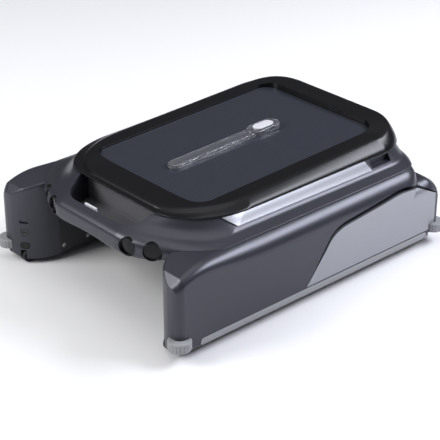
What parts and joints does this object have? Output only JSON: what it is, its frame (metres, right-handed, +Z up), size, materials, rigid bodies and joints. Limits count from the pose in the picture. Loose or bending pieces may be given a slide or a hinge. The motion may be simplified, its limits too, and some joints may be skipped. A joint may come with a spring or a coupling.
{
  "type": "robotic pool skimmer",
  "caption": "Twin-hull solar pool-surface skimmer: panelled deck with a handle bar, corner rollers, rear water-jet thrusters and a slide-out debris basket between the hulls.",
  "frame": {"origin": "on the floor under the centre of the bounding box", "axes": "+Y from the handle bar to the stern, +Z up, +X to the right-hand hull when the handle faces away from +Y"},
  "size_m": [0.436, 0.558, 0.1906],
  "materials": {
    "gunmetal_shell": "metallic-effect moulded shell, satin gloss",
    "gloss_black": "high-gloss black moulding",
    "solar_cells": "slate solar cells under a clear laminate with fine lengthwise lines",
    "clear_plastic": "clear moulded light guide",
    "silver_panel": "silver-effect moulding with a fine brushed look",
    "grey_rubber": "light grey ribbed elastomer",
    "black_rubber": "matte black elastomer",
    "inner_wall_plastic": "fine-textured dark moulding",
    "sensor_window": "gloss black window",
    "bright_steel": "turned stainless steel",
    "pale_plastic": "pale grey moulding",
    "battery_wrap": "blue shrink wrap",
    "circuit_board": "green solder mask",
    "filter_mesh": "fine woven screen"
  },
  "bodies": {
    "hull": {"battery_pack": "battery_wrap", "belly_tray": "inner_wall_plastic", "control_board": "circuit_board", "corner_left_sensor": "sensor_window", "corner_right_sensor": "sensor_window", "deck_shell": "gunmetal_shell", "drain_plug": "inner_wall_plastic", "front_left_sensor": "sensor_window", "front_right_sensor": "sensor_window", "grip_well": "inner_wall_plastic", "left_bumper_strip": "grey_rubber", "left_front_cover_screw": "bright_steel", "left_front_roller_pin": "bright_steel", "left_nose_axle": "bright_steel", "left_pontoon_cover": "inner_wall_plastic", "left_pontoon_shell": "gunmetal_shell", "left_rear_cover_screw": "bright_steel", "left_rear_roller_pin": "bright_steel", "left_shaft_seal": "black_rubber", "left_side_panel": "silver_panel", "left_skid_foot": "black_rubber", "left_thruster_duct": "inner_wall_plastic", "left_thruster_motor": "bright_steel", "left_trim_strip": "silver_panel", "light_guide": "clear_plastic", "panel_gasket": "black_rubber", "right_bumper_strip": "grey_rubber", "right_front_cover_screw": "bright_steel", "right_front_roller_pin": "bright_steel", "right_nose_axle": "bright_steel", "right_pontoon_cover": "inner_wall_plastic", "right_pontoon_shell": "gunmetal_shell", "right_rear_cover_screw": "bright_steel", "right_rear_roller_pin": "bright_steel", "right_shaft_seal": "black_rubber", "right_side_panel": "silver_panel", "right_skid_foot": "black_rubber", "right_thruster_duct": "inner_wall_plastic", "right_thruster_motor": "bright_steel", "right_trim_strip": "silver_panel", "solar_frame": "gloss_black", "solar_panel": "solar_cells"},
    "power_button": {"power_button": "pale_plastic"},
    "release_lever": {"release_lever": "pale_plastic"},
    "charge_flap": {"charge_flap": "black_rubber"},
    "front_left_roller": {"left_front_roller": "grey_rubber"},
    "front_right_roller": {"right_front_roller": "grey_rubber"},
    "rear_left_roller": {"left_rear_roller": "grey_rubber"},
    "rear_right_roller": {"right_rear_roller": "grey_rubber"},
    "left_nose_wheel": {"left_nose_wheel": "black_rubber"},
    "right_nose_wheel": {"right_nose_wheel": "black_rubber"},
    "left_thruster_screw": {"left_drive_shaft": "bright_steel", "left_propeller": "inner_wall_plastic"},
    "right_thruster_screw": {"right_drive_shaft": "bright_steel", "right_propeller": "inner_wall_plastic"},
    "basket": {"basket_frame": "inner_wall_plastic", "filter_screen": "filter_mesh", "basket_handle": "inner_wall_plastic", "gate_pin": "bright_steel"},
    "gate": {"intake_gate": "inner_wall_plastic"}
  },
  "joints": [
    {"name": "button_press", "type": "slide", "parent": "hull", "child": "power_button", "axis": [0, 0.0305, -0.9995], "range_m": [0, 0.0015], "stiffness_N_per_m": 300, "springref_m": -0.001},
    {"name": "lever_squeeze", "type": "slide", "parent": "hull", "child": "release_lever", "axis": [0, -1, 0], "range_m": [0, 0.003], "stiffness_N_per_m": 400, "springref_m": -0.001},
    {"name": "flap_open", "type": "hinge", "parent": "hull", "child": "charge_flap", "pos_m": [-0.16428, -0.25883, 0.036], "axis": [-0.7986, -0.6018, 0], "range_deg": [0, 100]},
    {"name": "front_left_roller_spin", "type": "hinge", "parent": "hull", "child": "front_left_roller", "pos_m": [-0.201, -0.262, 0.0275], "axis": [0, 0, 1], "continuous": true},
    {"name": "rear_left_roller_spin", "type": "hinge", "parent": "hull", "child": "rear_left_roller", "pos_m": [-0.201, 0.262, 0.0275], "axis": [0, 0, 1], "continuous": true},
    {"name": "front_right_roller_spin", "type": "hinge", "parent": "hull", "child": "front_right_roller", "pos_m": [0.201, -0.262, 0.0275], "axis": [0, 0, 1], "continuous": true},
    {"name": "rear_right_roller_spin", "type": "hinge", "parent": "hull", "child": "rear_right_roller", "pos_m": [0.201, 0.262, 0.0275], "axis": [0, 0, 1], "continuous": true},
    {"name": "left_nose_wheel_spin", "type": "hinge", "parent": "hull", "child": "left_nose_wheel", "pos_m": [-0.17, -0.2505, 0.011], "axis": [1, 0, 0], "continuous": true},
    {"name": "right_nose_wheel_spin", "type": "hinge", "parent": "hull", "child": "right_nose_wheel", "pos_m": [0.17, -0.2505, 0.011], "axis": [1, 0, 0], "continuous": true},
    {"name": "left_thruster_spin", "type": "hinge", "parent": "hull", "child": "left_thruster_screw", "pos_m": [-0.171, 0.2, 0.062], "axis": [0, 1, 0], "continuous": true},
    {"name": "right_thruster_spin", "type": "hinge", "parent": "hull", "child": "right_thruster_screw", "pos_m": [0.171, 0.2, 0.062], "axis": [0, 1, 0], "continuous": true},
    {"name": "basket_slide", "type": "slide", "parent": "hull", "child": "basket", "axis": [0, 1, 0], "range_m": [0, 0.28]},
    {"name": "gate_swing", "type": "hinge", "parent": "basket", "child": "gate", "pos_m": [0, -0.084, 0.088], "axis": [1, 0, 0], "range_deg": [0, 75]}
  ]
}
